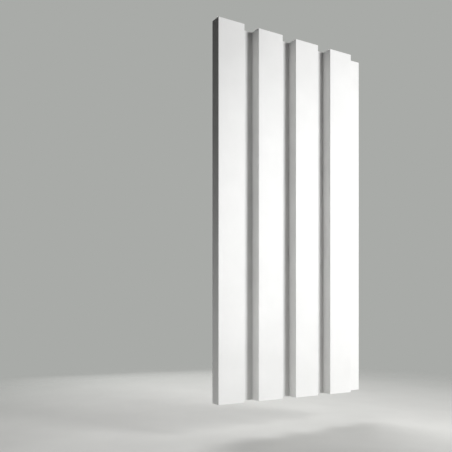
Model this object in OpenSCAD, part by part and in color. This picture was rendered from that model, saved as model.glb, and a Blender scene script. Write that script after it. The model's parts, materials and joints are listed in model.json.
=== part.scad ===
// Vertical wall radiator of four raised box profiles, with its valve set hidden behind the panel.
// X runs along the wall to the right, +Y points into the wall and +Z points up. The origin is the
// centre of the wall fixing pattern, on the wall plane.

/* [Panel] */
// Height of the panel
panel_h = 1800; // [1400:10:2200]
// Distance from one box to the next
pitch = 225; // [205:1:280]
// Width of each raised box
box_w = 145; // [125:1:175]
// Depth of each box's free side wall
box_d = 55; // [50:0.5:70]
// How far each flange runs on behind the next box
tongue_w = 30; // [20:1:36]
// Thickness of the extruded skin
skin_t = 2.5; // [2:0.1:3]
// Radius on the upright front edges
edge_r = 2.5; // [1.5:0.1:4]
// Radius inside the upright front edges
inner_edge_r = 1; // [0.5:0.1:2]
// Radius left on the sawn ends
end_r = 1; // [0.5:0.1:2]
// Inward lip at the back of each side wall
rear_lip_w = 10; // [6:1:14]
// Gap between a side wall and the flange that runs behind it
interlock_gap = 1; // [0.6:0.1:2]
// Clear depth between the panel's back and the wall
wall_gap = 51.5; // [51:0.5:65]

/* [Profile inside] */
// Outer radius of the water channel
channel_r = 13; // [12:0.5:16]
// Bore radius of the water channel
channel_bore_r = 10; // [8:0.5:10.5]
// Web that carries heat from the channel to the front
web_t = 3; // [2:0.5:5]
// Thickness of the fins
fin_t = 2; // [1.5:0.1:3]
// Depth of the fins
fin_d = 34; // [20:1:40]
// Distance of the fins from the web
fin_x = 36; // [32:1:45]
// Length of the side wings on the channel
wing_w = 20; // [16:1:26]
// Distance of the screw slots from the channel's centre
slot_x = 22; // [21:0.5:26]
// Depth of the screw slots, with their closed end
slot_d = 12; // [12:0.5:15]
// Wall of the screw slots
slot_leg = 2; // [1.5:0.1:3]
// Plate at the back of the channel
back_t = 2.5; // [2:0.1:3]
// Screw ports from the side wall, for the cover
port_x = 14; // [12:0.5:20]
// Screw ports from the front face
port_y = 12; // [10:0.5:16]
// Outer radius of the screw ports
port_r = 3.75; // [3.5:0.25:5]
// Length cut away inside at the bottom, to make room for the valves
bottom_cut = 165; // [160:1:180]
// Length cut away inside at the top
top_cut = 20; // [18:1:30]
// Thickness of the plugs that close the channels
channel_plug_t = 4; // [3:0.5:6]

/* [Top cover] */
// Sheet thickness of the covers
cover_t = 2; // [1.5:0.1:3]
// How far the covers sit below the panel's top edge
cover_inset = 4; // [3.5:0.1:6]
// Gap round the covers
cover_clear = 0.5; // [0.3:0.1:1]
// Air slot width
air_slot_w = 6; // [4:0.5:8]
// Air slot length
air_slot_len = 34; // [24:1:36]
// Distance from one air slot to the next
air_slot_pitch = 12; // [10:0.5:16]
// Depth of the cover's turned-down rear edge
cover_lip = 8; // [5:0.5:10]
// Shank radius of the cover screws
cover_screw_r = 1.75; // [1.5:0.05:2]
// Length of the cover screws under the head
cover_screw_len = 12; // [8:1:16]

/* [Headers] */
// Outer radius of the header tubes
header_r = 14; // [13.5:0.5:17]
// Wall of the header tubes
header_t = 2; // [1.5:0.1:2]
// Gap between the panel's back and the headers
header_gap = 2; // [1.5:0.5:4]
// Bottom header's height above the panel's bottom edge
bottom_header_up = 190; // [185:1:215]
// Top header's distance below the panel's top edge
top_header_down = 60; // [50:1:90]
// How far the headers run on past the outer channels
header_end = 27.5; // [26:0.5:30]
// Distance of the vent end from the flange's free edge
vent_inset = 45; // [35:1:60]
// Radius of the half-inch threads
half_inch_r = 10.2; // [10:0.05:10.4]
// Clearance of pieces that pass through a hole without touching it
easy_clear = 0.3; // [0.2:0.05:0.4]
// Clearance between threads that engage
thread_clear = 0.05; // [0.02:0.01:0.1]
// Length of the threaded end bushes
bush_len = 15; // [13:0.5:16]
// Thickness of the welded end discs
end_disc_t = 3; // [2:0.5:4]
// Thickness of the flow divider
divider_t = 2; // [1.5:0.5:3]
// Outer radius of the valve bosses
boss_r = 13; // [12.5:0.5:13.5]
// Length of the valve bosses below the header
boss_len = 10; // [10:0.5:14]
// Outer radius of the nipples
nipple_r = 8; // [6:0.5:9]
// Wall of the nipples
nipple_t = 1.5; // [1:0.1:2]
// How far the nipples stand into each waterway
nipple_reach = 1.5; // [0.5:0.1:2]

/* [Vent and blind plug] */
// Thread length of the plugs
plug_thread_len = 12; // [10:0.5:13]
// Width across flats of the plugs
plug_af = 27; // [26:0.5:30]
// Thickness of the plugs' hexagon
plug_hex_t = 4; // [3.5:0.5:6]
// Section radius of the seal rings
seal_r = 0.8; // [0.6:0.05:0.9]
// Middle radius of the seal rings
seal_mid_r = 11.4; // [11.3:0.05:11.8]
// Width of the seal grooves
seal_groove_w = 2; // [1.9:0.1:2.4]
// Radius of the vent's neck
vent_neck_r = 6.5; // [6:0.1:8]
// Length of the vent's neck beyond the hexagon
vent_neck_len = 10; // [9.5:0.5:14]
// Outer radius of the swivel nozzle
nozzle_r = 9.5; // [9:0.5:11]
// Width of the swivel nozzle
nozzle_w = 7; // [6:0.5:8]
// Radius of the nozzle's spout
spout_r = 2.5; // [2:0.1:3]
// How far the spout stands out from the nozzle
spout_len = 5; // [3:0.5:5.5]
// Bore of the nozzle's spout
spout_bore_r = 1.2; // [0.8:0.1:1.5]
// Gap between the hexagon and the nozzle
nozzle_gap = 0.5; // [0.3:0.1:0.8]
// Radius of the vent screw
vent_screw_r = 2.5; // [2:0.1:3]
// Square end of the vent screw
vent_key_w = 5; // [4:0.5:6]
// Length of the square end
vent_key_len = 5; // [4:0.5:7]
// How far the vent screw reaches into the header
vent_screw_in = 1.9; // [1.5:0.1:3]
// Gap under the square end
vent_face_gap = 0.4; // [0.3:0.1:0.8]
// Gap between the vent screw's end and its seat
vent_seat_gap = 0.1; // [0.05:0.05:0.3]
// Radius of the vent's air passages
bleed_r = 1; // [0.8:0.1:1.5]
// Running clearance of turning and sliding pieces
run_clear = 0.05; // [0.02:0.01:0.08]

/* [Valve bodies] */
// Collar of the tailpiece
tail_collar_t = 4; // [3:0.5:5]
// Outer radius of the tailpiece collar
tail_collar_r = 13.5; // [13.5:0.5:14]
// Bare neck between the collar and the union nut
tail_neck_len = 4; // [3:0.5:6]
// Outer radius of the tailpiece neck
tail_neck_r = 9; // [8.5:0.1:9.5]
// Waterway radius of the tailpiece
tail_bore_r = 7; // [6:0.1:7.5]
// Shoulder at the tailpiece's end
tail_shoulder_t = 3; // [2:0.5:4]
// Width across flats of the union nuts
union_af = 30; // [30:0.5:33]
// Height of the union nuts
union_h = 17; // [16:0.5:18]
// Ledge inside the union nuts
union_ledge_t = 4; // [3:0.5:5]
// Radius of the union thread
union_thread_r = 13.2; // [12.9:0.1:13.5]
// Length of the threaded spigot
spigot_len = 12; // [12:0.5:14]
// Radius of the valve body
body_r = 15; // [14.5:0.1:15.5]
// Length of the valve body below the spigot
body_len = 33; // [32:0.5:36]
// Radius of the head thread
head_thread_r = 15; // [15:0.05:15.2]
// Length of the head thread
head_thread_len = 10; // [9:0.5:12]
// Radius of the outlet waterway
outlet_r = 8; // [7:0.1:9]
// Distance of the valve seat below the spigot's end
seat_down = 21; // [19:0.5:22]
// Opening radius of the seat
seat_opening_r = 6; // [5.8:0.1:6.5]
// Thickness of the seat
seat_t = 3; // [2:0.5:4]
// Radius of the chamber under the seat
chamber_r = 10; // [9.8:0.1:10.5]
// Distance of the inlet below the spigot's end
inlet_down = 32; // [31:0.5:33]
// Radius of the inlet branch
branch_r = 10.5; // [10:0.1:10.8]
// Radius of the inlet waterway
inlet_r = 6; // [5:0.1:6.5]
// Length of the inlet branch from the valve's axis
branch_len = 26; // [25:0.5:28]
// Length of the compression thread
compression_thread_len = 8; // [7:0.5:9]
// Radius of the compression thread
compression_thread_r = 11; // [11:0.1:11.3]
// Radius of the pipe socket
pipe_socket_r = 7.6; // [7.55:0.05:7.9]
// Depth of the pipe socket in the body
pipe_socket_d = 12; // [10:0.5:12]
// Width across flats of the compression nuts
compression_af = 25; // [25:0.5:27]
// Length of the compression nuts
compression_h = 13; // [12:0.5:14]
// End wall of the compression nuts
compression_end_t = 2.5; // [2:0.1:3]
// Length of the olives
olive_len = 3.4; // [3:0.1:3.9]
// Greatest radius of the olives
olive_r = 9.2; // [9:0.1:9.6]
// Gap between the branch's shoulder and the compression nuts
nut_gap = 1; // [0.5:0.5:2]

/* [Thermostatic insert] */
// Lift of the valve disc from shut to fully open
valve_lift = 2; // [1.5:0.1:2.4]
// Gap left between the disc and the seat when shut
shut_gap = 0.1; // [0.05:0.05:0.2]
// Radius of the valve disc
disc_r = 7.5; // [7:0.1:8]
// Thickness of the rubber disc
disc_t = 2.4; // [2:0.1:3]
// Thickness of the disc's holder
holder_t = 2.5; // [2:0.1:3]
// Radius of the spindle
spindle_r = 2; // [1.8:0.1:2.2]
// How far the spindle's tip stands out below the body
spindle_out = 14; // [13.5:0.5:15]
// Thread length of the insert inside the body
insert_thread_len = 15; // [14.5:0.5:15.5]
// Top wall of the insert
insert_top_t = 4; // [3.5:0.5:4.5]
// Height of the insert's hexagon below the body
insert_hex_h = 6; // [5:0.5:7]
// Width across flats of the insert's hexagon
insert_af = 17; // [16:0.5:18]
// Radius of the insert's nose
insert_nose_r = 5.5; // [5.2:0.1:6]
// Length of the insert's nose below the hexagon
insert_nose_len = 4; // [3:0.5:4]
// Radius of the spring chamber
spring_room_r = 6; // [5.8:0.1:6.5]
// Length of the valve spring at rest
spring_len = 10; // [9:0.5:10]
// Wire radius of the valve spring
spring_wire_r = 0.45; // [0.35:0.05:0.5]
// Middle radius of the valve spring
spring_mid_r = 4.2; // [3.8:0.1:4.4]
// Turns of the valve spring
spring_turns = 5; // [3:1:7]
// Collar that the valve spring presses on
spring_collar_t = 1.5; // [1:0.1:1.6]
// Radius of the seal's groove round the spindle
seal_room_r = 3.9; // [3.8:0.05:4]
// Length of the seal's groove
seal_room_len = 2; // [1.9:0.1:2.4]
// Section radius of the spindle seals
spindle_seal_r = 0.9; // [0.8:0.05:0.9]

/* [Thermostatic head] */
// Outer radius of the head's collar nut
collar_r = 18.5; // [18:0.1:19]
// Length of the collar nut
collar_len = 17; // [16:0.5:17]
// Ledge of the collar nut
collar_ledge_t = 4; // [3:0.5:5]
// Gap between the collar nut and the base's sleeve
collar_gap = 0.4; // [0.3:0.1:0.8]
// Grooves round the collar nut
collar_grooves = 36; // [24:1:48]
// Flange of the base, held by the collar nut
base_flange_t = 3; // [2.5:0.5:4]
// Radius of the base's neck
base_neck_r = 12.5; // [12:0.1:13]
// Outer radius of the base's sleeve
base_r = 19.95; // [19.5:0.05:20.2]
// Inner radius of the base's sleeve
base_bore_r = 17; // [17:0.1:17.5]
// Wall that guides the push rod
guide_t = 4; // [3:0.5:5]
// Length of the base's sleeve
base_sleeve_len = 36; // [30:1:40]
// Outer radius of the grip
grip_r = 24; // [23.5:0.1:25]
// Length of the grip
grip_len = 62; // [60:1:64]
// How far the grip starts below the base's shoulder
grip_drop = 3; // [2:0.5:4]
// End wall of the grip
grip_end_t = 4; // [3:0.5:5]
// Scallops round the grip
grip_ribs = 16; // [10:1:20]
// Radius of each scallop
rib_r = 3; // [2:0.1:3.4]
// Depth of each scallop
rib_d = 1.4; // [0.8:0.1:1.8]
// Air slots through the grip
grip_slots = 8; // [6:1:10]
// Width of the air slots in the grip
grip_slot_w = 3; // [2:0.1:4]
// Outer radius of the grip's inner threaded sleeve
drive_r = 16.8; // [16.5:0.05:16.9]
// Bore of the grip's inner threaded sleeve
drive_bore_r = 15; // [14.8:0.05:15.2]
// Radius of the sensor capsule
sensor_r = 12.6; // [12:0.1:12.8]
// Length of the sensor capsule
sensor_len = 18; // [16:0.5:18]
// Distance of the sensor capsule below the rod's guide
sensor_drop = 6; // [5:0.5:7]
// Radius of the push rod
rod_r = 3; // [2.5:0.1:3.4]
// Gap between the push rod and the spindle
rod_gap = 0.3; // [0.2:0.1:0.5]
// Wall of the sensor carrier
carrier_wall = 2; // [1.8:0.05:2.1]
// Length of the sensor carrier
carrier_len = 25; // [25:0.5:26]
// Bottom wall of the sensor carrier
carrier_end_t = 2; // [1.5:0.5:3]
// How far the sensor stands out of the carrier
carrier_drop = 2; // [1:0.5:3]
// How far the threaded sleeve reaches past the carrier
drive_over = 2; // [1:0.5:3]

/* [Lockshield] */
// Travel of the regulating cone from open to shut
cone_lift = 3; // [2.5:0.1:3.2]
// Radius of the lockshield stem
stem_r = 3; // [2.8:0.1:3.2]
// Collar that holds the stem in the bonnet
stem_collar_r = 5.5; // [5:0.1:5.7]
// Thickness of the stem's collar
stem_collar_t = 2.6; // [2:0.1:3]
// Width across flats of the key socket
key_af = 4; // [3:0.5:4]
// Depth of the key socket
key_d = 5; // [3:0.5:6]
// Hub radius of the regulating cone
cone_hub_r = 5.5; // [5:0.1:5.7]
// Thickness of the cone's flange
cone_flange_t = 3; // [2:0.5:4]
// How far the cone's hub runs on inside the bonnet
hub_run = 2; // [1:0.5:3]
// Distance of the stem's top end from the cone's face when shut
stem_hidden = 5; // [4:0.5:6]
// Distance of the stem's collar above the body's end
stem_collar_up = 7; // [6:0.5:8]
// Outer radius of the lockshield cap
cap_r = 17.5; // [17:0.1:18.5]
// Closed end of the cap
cap_end_t = 2.5; // [2:0.5:4]
// Gap between the valve body and the cap
cap_gap = 1; // [0.5:0.5:2]
// How far the cap runs on past the stem
cap_over = 9; // [6:0.5:12]
// Ribs round the cap
cap_ribs = 24; // [16:1:32]

/* [Hanging rails] */
// Lower rail's height above the panel's bottom edge
lower_rail_up = 400; // [340:10:500]
// Upper rail's distance below the panel's top edge
upper_rail_down = 300; // [200:10:400]
// Height of the rail section
rail_h = 44; // [44:1:54]
// Depth of the rail section
rail_d = 16; // [16:0.5:18]
// Wall of the rail section
rail_t = 2; // [1.5:0.1:2.5]
// Lips of the rail section, with the wall they start from
rail_lip = 10; // [8:0.5:11]
// How far the rails run on past the outer screws
rail_end = 14; // [10:1:16]
// Shank radius of the rail screws
rail_screw_r = 2.5; // [2.4:0.1:2.6]
// Shank length of the rail screws
rail_screw_len = 11; // [9:0.5:11]
// Head radius of the rail screws
rail_screw_head_r = 4.75; // [4.5:0.25:5.5]
// Head height of the rail screws
rail_screw_head_h = 3.3; // [2.5:0.1:4]

/* [Wall brackets] */
// Width of the wall plates
plate_w = 44; // [44:1:60]
// Height of the wall plates
plate_h = 100; // [100:1:120]
// Steel thickness of the brackets
plate_t = 4; // [3:0.5:4]
// Corner radius of the wall plates
plate_corner_r = 4; // [2:0.5:8]
// Radius of the wall fixing holes
fixing_r = 4.5; // [3:0.25:5.5]
// Distance of the fixing holes from the middle of the rail
fixing_dz = 36; // [36:1:40]
// Width of the hook and its shelf
hook_w = 40; // [36:1:44]
// How far the shelf's underside is below the rail's middle
shelf_down = 3; // [2:0.5:4]
// Gusset thickness
gusset_t = 4; // [3:0.5:5]
// Gusset size
gusset_size = 22; // [14:1:24]
// Wall of the plastic pads on the hooks
pad_t = 2; // [1.5:0.1:2.5]
// Height of the pads on the hooks
pad_h = 14; // [10:0.5:16]
// Latch pivot's distance from the wall
pivot_out = 24; // [22:0.5:26]
// Radius of the latch pins
latch_pin_r = 3; // [2.5:0.1:3.5]
// Radius of the latch hubs
latch_hub_r = 7; // [6.5:0.1:8]
// Width of the latch nose
latch_w = 12; // [10:0.5:13]
// Gap above and below the latch
latch_gap = 0.4; // [0.3:0.1:0.8]
// How far the latch nose reaches past the rail's lip
latch_reach = 4; // [3:0.5:5]
// Finger tab of the latch
latch_tab_h = 20; // [14:1:26]
// Thickness of the finger tab
latch_tab_t = 3; // [2:0.5:4]
// Head radius of the latch pins
latch_head_r = 5; // [4.5:0.5:6]
// Head thickness of the latch pins
latch_head_t = 1.5; // [1:0.5:2.5]

/* [Hidden] */

$fn = 64;
through = 1;                 // how far a cutting shape runs past the face it opens
bite = 0.5;                  // how far joined shapes run into each other
boxes = 4;
paint = [0.93, 0.93, 0.93];
steel = [0.72, 0.73, 0.75];
brass = [0.78, 0.77, 0.74];
moulding = [0.90, 0.90, 0.89];

// Panel
gap_w = pitch - box_w;
flange_w = gap_w + tongue_w;
flange_front = box_d + interlock_gap;
panel_d = flange_front + skin_t;
panel_back = -wall_gap;
panel_front = panel_back - panel_d;
panel_w = (boxes - 1) * pitch + box_w + flange_w;
core_top = panel_h - top_cut;
cover_z = panel_h - cover_inset - cover_t;

// The brackets stand behind the middles of the outer gaps, and the origin is midway between them
bracket_left = box_w + gap_w / 2;
bracket_right = bracket_left + 2 * pitch;
panel_left = -(bracket_left + bracket_right) / 2;
upper_rail_up = panel_h - upper_rail_down;
panel_bottom = -(lower_rail_up + upper_rail_up) / 2;

// Water channel, in each profile's own place
channel_x = box_w / 2;
channel_y = panel_d - channel_r;
slot_w = 2 * rail_screw_r;

// Headers
header_y = panel_back + header_gap + header_r;
header_bore_r = header_r - header_t;
top_header_up = panel_h - top_header_down;
header_left = channel_x - header_end;
valve_x = (tongue_w + box_w - skin_t - rear_lip_w) / 2;
bottom_header_right = (boxes - 1) * pitch + valve_x + boss_r + end_disc_t + through;
top_header_right = panel_w - vent_inset;
boss_face_up = bottom_header_up - header_r - boss_len;
nipple_start = panel_back - (channel_r - channel_bore_r) - nipple_reach;
nipple_end = panel_back + header_gap + header_t + nipple_reach;

// Vent: distances beyond the header's end
vent_end = plug_hex_t + vent_neck_len;
vent_key_start = vent_end + vent_face_gap;

// Valve stack: distances below the face of the boss
male_half_inch_r = half_inch_r - thread_clear;
union_top = tail_collar_t + tail_neck_len;
spigot_top = union_top + union_ledge_t + tail_shoulder_t;
body_top = spigot_top + spigot_len;
thread_top = body_top + body_len;
body_end = thread_top + head_thread_len;
seat_top = spigot_top + seat_down;
seat_under = seat_top + seat_t;
inlet_at = spigot_top + inlet_down;
compression_start = branch_len - compression_thread_len + nut_gap;
insert_top = body_end - insert_thread_len;
insert_r = chamber_r - thread_clear;
insert_hex_end = body_end + insert_hex_h;
insert_end = insert_hex_end + insert_nose_len;
disc_top = seat_under + shut_gap + valve_lift / 2;
holder_top = disc_top + disc_t;
spring_top = insert_top + insert_top_t;
spring_end = spring_top + spring_len;
room_end = spring_end + spring_collar_t + valve_lift / 2 + shut_gap;
spindle_tip = body_end + spindle_out;

// Thermostatic head
base_under_flange = body_end + base_flange_t;
collar_end = base_under_flange + collar_ledge_t;
collar_top = collar_end - collar_len;
base_shoulder = collar_end + collar_gap;
guide_top = spindle_tip + valve_lift;
guide_end = guide_top + guide_t;
rod_top = spindle_tip + rod_gap;
sensor_top = guide_end + sensor_drop;
sensor_end = sensor_top + sensor_len;
carrier_r = drive_bore_r - run_clear;
carrier_top = sensor_top + carrier_drop;
carrier_end = carrier_top + carrier_len;
grip_top = base_shoulder + grip_drop;
grip_end = grip_top + grip_len;
grip_bore_r = base_r + run_clear;
sleeve_end = guide_end + base_sleeve_len;

// Lockshield
stem_tip = spindle_tip;
stem_top = seat_under + cone_lift + stem_hidden;
cone_face = seat_under + shut_gap + cone_lift;
hub_end = insert_top + hub_run;
stem_collar_top = body_end - stem_collar_up;
bonnet_room_end = stem_collar_top + stem_collar_t + run_clear;
cap_top = thread_top + cap_gap;
cap_end = stem_tip + cap_over;

// Rails and brackets: heights are from the rail's middle
rail_back = panel_back + rail_d;
rail_inner_top = rail_h / 2 - rail_t;
lip_inner = rail_h / 2 - rail_lip;
rail_left = channel_x - slot_x - rail_end;
rail_right = (boxes - 1) * pitch + channel_x + slot_x + rail_end;
hook_y = panel_back + rail_d / 2;
shelf_top = plate_t - shelf_down;
latch_top = -shelf_down - latch_gap;
latch_under = -lip_inner + latch_gap;

// ---------- placing ----------

// A place on the panel: x from its left edge, y from its front, z from its bottom edge
module on_panel(x = 0, z = 0) {
    translate([panel_left + x, panel_front, panel_bottom + z]) children();
}

// The middle of a header's tube, x from the panel's left edge
module on_header(x, up) {
    translate([panel_left + x, header_y, panel_bottom + up]) children();
}

// The face of a valve boss, with the pieces hanging below it
module under_boss(box) {
    on_header(box * pitch + valve_x, boss_face_up) children();
}

module under_both_bosses() {
    for (box = [0, boxes - 1]) under_boss(box) children();
}

// The middle of a rail behind a bracket, on the wall plane
module at_bracket(x, up) {
    translate([panel_left + x, 0, panel_bottom + up]) children();
}

module at_all_brackets() {
    for (x = [bracket_left, bracket_right], up = [lower_rail_up, upper_rail_up]) {
        at_bracket(x, up) children();
    }
}

// ---------- common shapes ----------

// A round that runs down from one level below the boss to another
module drum(r, from, to) {
    translate([0, 0, -to]) cylinder(r = r, h = to - from);
}

module ring(r_out, r_in, from, to) {
    difference() {
        drum(r_out, from, to);
        drum(r_in, from - through, to + through);
    }
}

// A hexagon bar along +Z, with its corners turned off at both ends
module hex_bar(af, h) {
    corner = af / sqrt(3);
    turned = corner - af / 2;
    intersection() {
        cylinder(r = corner, h = h, $fn = 6);
        rotate_extrude() polygon([
            [0, 0], [af / 2, 0], [corner, turned / 2],
            [corner, h - turned / 2], [af / 2, h], [0, h]
        ]);
    }
}

module seal_ring(mid_r, r) {
    rotate_extrude() translate([mid_r, 0]) circle(r = r, $fn = 24);
}

// The points round the wire of a coil, one ring for each step
function coil_points(r, wire, length, turns, steps, sides) = [
    for (i = [0 : turns * steps], k = [0 : sides - 1])
        let (a = 360 * i / steps, b = 360 * k / sides, reach = r + wire * cos(b))
        [reach * cos(a), reach * sin(a), wire + (length - 2 * wire) * i / (turns * steps) + wire * sin(b)]
];

module coil(r, wire, length, turns) {
    steps = 24;
    sides = 8;
    last = turns * steps;
    polyhedron(
        points = coil_points(r, wire, length, turns, steps, sides),
        faces = concat(
            [[for (k = [0 : sides - 1]) k]],
            [[for (k = [sides - 1 : -1 : 0]) last * sides + k]],
            [for (i = [0 : last - 1], k = [0 : sides - 1])
                let (n = (k + 1) % sides)
                [i * sides + k, (i + 1) * sides + k, (i + 1) * sides + n, i * sides + n]]
        )
    );
}

// ---------- profiles ----------

// A rectangle with its two front corners rounded
module round_front(w, d, r) {
    translate([r, 0]) square([w - 2 * r, d]);
    translate([0, r]) square([w, d - r]);
    for (x = [r, w - r]) translate([x, r]) circle(r = r);
}

// Raised box, open at the back, and the flange on its right
module skin_section() {
    difference() {
        union() {
            round_front(box_w, box_d, edge_r);
            translate([box_w - skin_t, edge_r]) square([skin_t, panel_d - edge_r]);
        }
        translate([skin_t, skin_t]) round_front(box_w - 2 * skin_t, panel_d, inner_edge_r);
    }
    translate([0, box_d - skin_t]) square([skin_t + rear_lip_w, skin_t]);
    translate([box_w - skin_t - rear_lip_w, flange_front]) {
        square([rear_lip_w + skin_t + flange_w - skin_t / 2, skin_t]);
    }
    translate([box_w + flange_w - skin_t / 2, flange_front + skin_t / 2]) circle(r = skin_t / 2);
}

// Water channel with its web, fins, wings and screw slots
module core_section() {
    difference() {
        union() {
            translate([channel_x, channel_y]) circle(r = channel_r);
            translate([channel_x - web_t / 2, skin_t / 2]) square([web_t, channel_y - skin_t / 2]);
            for (side = [-1, 1]) {
                translate([channel_x + side * fin_x - fin_t / 2, skin_t / 2]) {
                    square([fin_t, fin_d]);
                }
                translate([channel_x + side * slot_x, panel_d - slot_d / 2]) {
                    square([slot_w + 2 * slot_leg, slot_d], center = true);
                }
            }
            translate([channel_x - slot_x, panel_d - back_t]) square([2 * slot_x, back_t]);
            translate([channel_x - channel_r - wing_w, panel_d - slot_d]) {
                square([2 * (channel_r + wing_w), slot_leg]);
            }
        }
        translate([channel_x, channel_y]) circle(r = channel_bore_r);
        for (side = [-1, 1]) {
            translate([channel_x + side * slot_x - slot_w / 2, panel_d - slot_d + slot_leg]) {
                square([slot_w, slot_d]);
            }
        }
    }
}

// Ports that the cover screws cut into
module port_section() {
    for (x = [port_x, box_w - port_x]) {
        difference() {
            union() {
                translate([x, port_y]) circle(r = port_r);
                translate([x - web_t / 2, skin_t / 2]) square([web_t, port_y - skin_t]);
            }
            translate([x, port_y]) circle(r = cover_screw_r);
        }
    }
}

// What a rounded edge leaves off: a bar along +Z whose material side is +X +Y
module edge_bead(length) {
    linear_extrude(length) difference() {
        translate([-through, -through]) square(end_r + through);
        translate([end_r, end_r]) circle(r = end_r);
    }
}

module rounded_ends() {
    for (end = [0, 1]) translate([0, 0, end * panel_h]) mirror([0, 0, end]) {
        rotate([90, 0, 90]) edge_bead(box_w);
        translate([0, box_d, 0]) rotate([90, 0, 0]) edge_bead(box_d);
        translate([box_w, flange_front, 0]) mirror([1, 0, 0]) {
            rotate([90, 0, 0]) edge_bead(flange_front);
        }
    }
}

module profile(box) {
    color(paint) on_panel(box * pitch) difference() {
        union() {
            linear_extrude(panel_h) skin_section();
            translate([0, 0, bottom_cut]) linear_extrude(core_top - bottom_cut) core_section();
            translate([0, 0, bottom_cut]) linear_extrude(cover_z - bottom_cut) port_section();
        }
        for (up = [bottom_header_up, top_header_up]) {
            translate([channel_x, channel_y, up]) rotate([-90, 0, 0]) {
                cylinder(r = nipple_r, h = channel_r + through);
            }
        }
        rounded_ends();
    }
}

module profile_1() { profile(0); }
module profile_2() { profile(1); }
module profile_3() { profile(2); }
module profile_4() { profile(3); }

// ---------- top covers ----------

module top_cover(box) {
    start = skin_t + cover_clear;
    w = box_w - 2 * start;
    d = box_d - skin_t - cover_clear - start;
    slots = floor((w - 2 * port_x) / air_slot_pitch);
    color(paint) on_panel(box * pitch, cover_z) difference() {
        union() {
            translate([start, start, 0]) cube([w, d, cover_t]);
            translate([start, start + d - cover_t, -cover_lip]) cube([w, cover_t, cover_lip + cover_t]);
        }
        for (i = [0 : slots - 1]) {
            x = box_w / 2 + (i - (slots - 1) / 2) * air_slot_pitch;
            y = start + d / 2 - cover_t;
            translate([x, y, -through]) linear_extrude(cover_t + 2 * through) {
                square([air_slot_w, air_slot_len - air_slot_w], center = true);
                for (side = [-1, 1]) {
                    translate([0, side * (air_slot_len - air_slot_w) / 2]) circle(d = air_slot_w);
                }
            }
        }
        for (x = [port_x, box_w - port_x]) {
            translate([x, port_y, -through]) {
                cylinder(r = cover_screw_r + easy_clear, h = cover_t + 2 * through);
            }
        }
    }
}

module top_cover_1() { top_cover(0); }
module top_cover_2() { top_cover(1); }
module top_cover_3() { top_cover(2); }
module top_cover_4() { top_cover(3); }

module cover_screw() {
    head_h = 1.6;
    cross_w = 0.9;
    cross_len = 2.2 * cover_screw_r;
    difference() {
        union() {
            translate([0, 0, -cover_screw_len]) cylinder(r = cover_screw_r, h = cover_screw_len);
            cylinder(r = 2 * cover_screw_r, h = head_h);
        }
        for (a = [0, 90]) rotate(a) {
            translate([0, 0, head_h]) cube([cross_len, cross_w, head_h], center = true);
        }
    }
}

module cover_screws() {
    color(steel) for (box = [0 : boxes - 1], x = [port_x, box_w - port_x]) {
        on_panel(box * pitch + x, cover_z + cover_t) translate([0, port_y, 0]) cover_screw();
    }
}

// ---------- waterway ----------

module channel_plugs() {
    color(paint) for (box = [0 : boxes - 1], z = [bottom_cut, core_top - channel_plug_t]) {
        on_panel(box * pitch + channel_x, z) translate([0, channel_y, 0]) {
            cylinder(r = channel_bore_r, h = channel_plug_t);
        }
    }
}

// Bores in a header for the nipples
module riser_holes(up) {
    for (box = [0 : boxes - 1]) on_header(box * pitch + channel_x, up) {
        rotate([90, 0, 0]) cylinder(r = nipple_r, h = header_r + through);
    }
}

module riser_nipples() {
    color(paint) for (box = [0 : boxes - 1], up = [bottom_header_up, top_header_up]) {
        translate([panel_left + box * pitch + channel_x, nipple_start, panel_bottom + up]) {
            rotate([-90, 0, 0]) difference() {
                cylinder(r = nipple_r, h = nipple_end - nipple_start);
                translate([0, 0, -through]) {
                    cylinder(r = nipple_r - nipple_t, h = nipple_end - nipple_start + 2 * through);
                }
            }
        }
    }
}

module header_tube(right, up) {
    on_header(header_left, up) rotate([0, 90, 0]) difference() {
        cylinder(r = header_r, h = right - header_left);
        translate([0, 0, -through]) {
            cylinder(r = header_bore_r, h = right - header_left + 2 * through);
        }
    }
}

module top_header() {
    color(paint) difference() {
        header_tube(top_header_right, top_header_up);
        riser_holes(top_header_up);
    }
}

module bottom_header() {
    color(paint) difference() {
        header_tube(bottom_header_right, bottom_header_up);
        riser_holes(bottom_header_up);
        under_both_bosses() cylinder(r = half_inch_r, h = boss_len + header_r);
    }
}

module header_bushes() {
    color(paint) for (x = [header_left, top_header_right - bush_len]) {
        on_header(x, top_header_up) rotate([0, 90, 0]) difference() {
            cylinder(r = header_bore_r, h = bush_len);
            translate([0, 0, -through]) cylinder(r = half_inch_r, h = bush_len + 2 * through);
        }
    }
}

module header_end_discs() {
    color(paint) for (x = [header_left, bottom_header_right - end_disc_t]) {
        on_header(x, bottom_header_up) rotate([0, 90, 0]) {
            cylinder(r = header_bore_r, h = end_disc_t);
        }
    }
}

// Sends the flow up the last profile before it returns down the others
module flow_divider() {
    color(paint) on_header(channel_x + (boxes - 1.5) * pitch, bottom_header_up) {
        rotate([0, 90, 0]) cylinder(r = header_bore_r, h = divider_t);
    }
}

module valve_bosses() {
    color(paint) under_both_bosses() difference() {
        cylinder(r = boss_r, h = boss_len + header_r);
        translate([0, 0, -through]) cylinder(r = half_inch_r, h = boss_len + header_r + 2 * through);
        translate([-2 * boss_r, 0, boss_len + header_r]) rotate([0, 90, 0]) {
            cylinder(r = header_r, h = 4 * boss_r);
        }
    }
}

// ---------- vent and blind plug ----------

// A half-inch plug that screws in along -Z, with a seal groove under its hexagon
module half_inch_plug() {
    difference() {
        union() {
            translate([0, 0, -plug_thread_len]) cylinder(r = male_half_inch_r, h = plug_thread_len);
            hex_bar(plug_af, plug_hex_t);
        }
        seal_groove();
    }
}

module seal_groove() {
    translate([0, 0, -through]) difference() {
        cylinder(r = seal_mid_r + seal_groove_w / 2, h = through + 2 * seal_r);
        translate([0, 0, -through]) {
            cylinder(r = seal_mid_r - seal_groove_w / 2, h = 3 * through + 2 * seal_r);
        }
    }
}

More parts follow.
